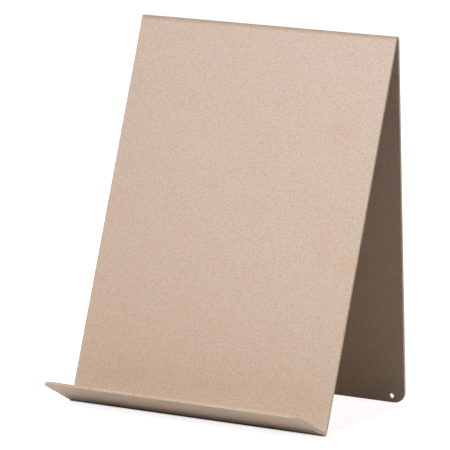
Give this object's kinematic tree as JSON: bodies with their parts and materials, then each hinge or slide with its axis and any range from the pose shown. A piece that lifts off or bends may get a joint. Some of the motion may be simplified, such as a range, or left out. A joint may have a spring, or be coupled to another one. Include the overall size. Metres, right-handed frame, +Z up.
{
  "type": "sheet-metal bookstand",
  "caption": "Tent-shaped bookstand of bent sheet steel: a plate that leans back, a raised lip in front that holds the book, and a flat leg behind.",
  "frame": {"origin": "on the ground, under the middle of the stand's box", "axes": "+Z up, -Y towards the reader, X along the folds"},
  "size_m": [0.24, 0.177, 0.3042],
  "materials": {
    "powder_coat": "satin champagne powder coat with a fine sandy grain"
  },
  "bodies": {
    "root": {"front_sheet": "powder_coat", "rear_leg": "powder_coat"}
  },
  "joints": []
}
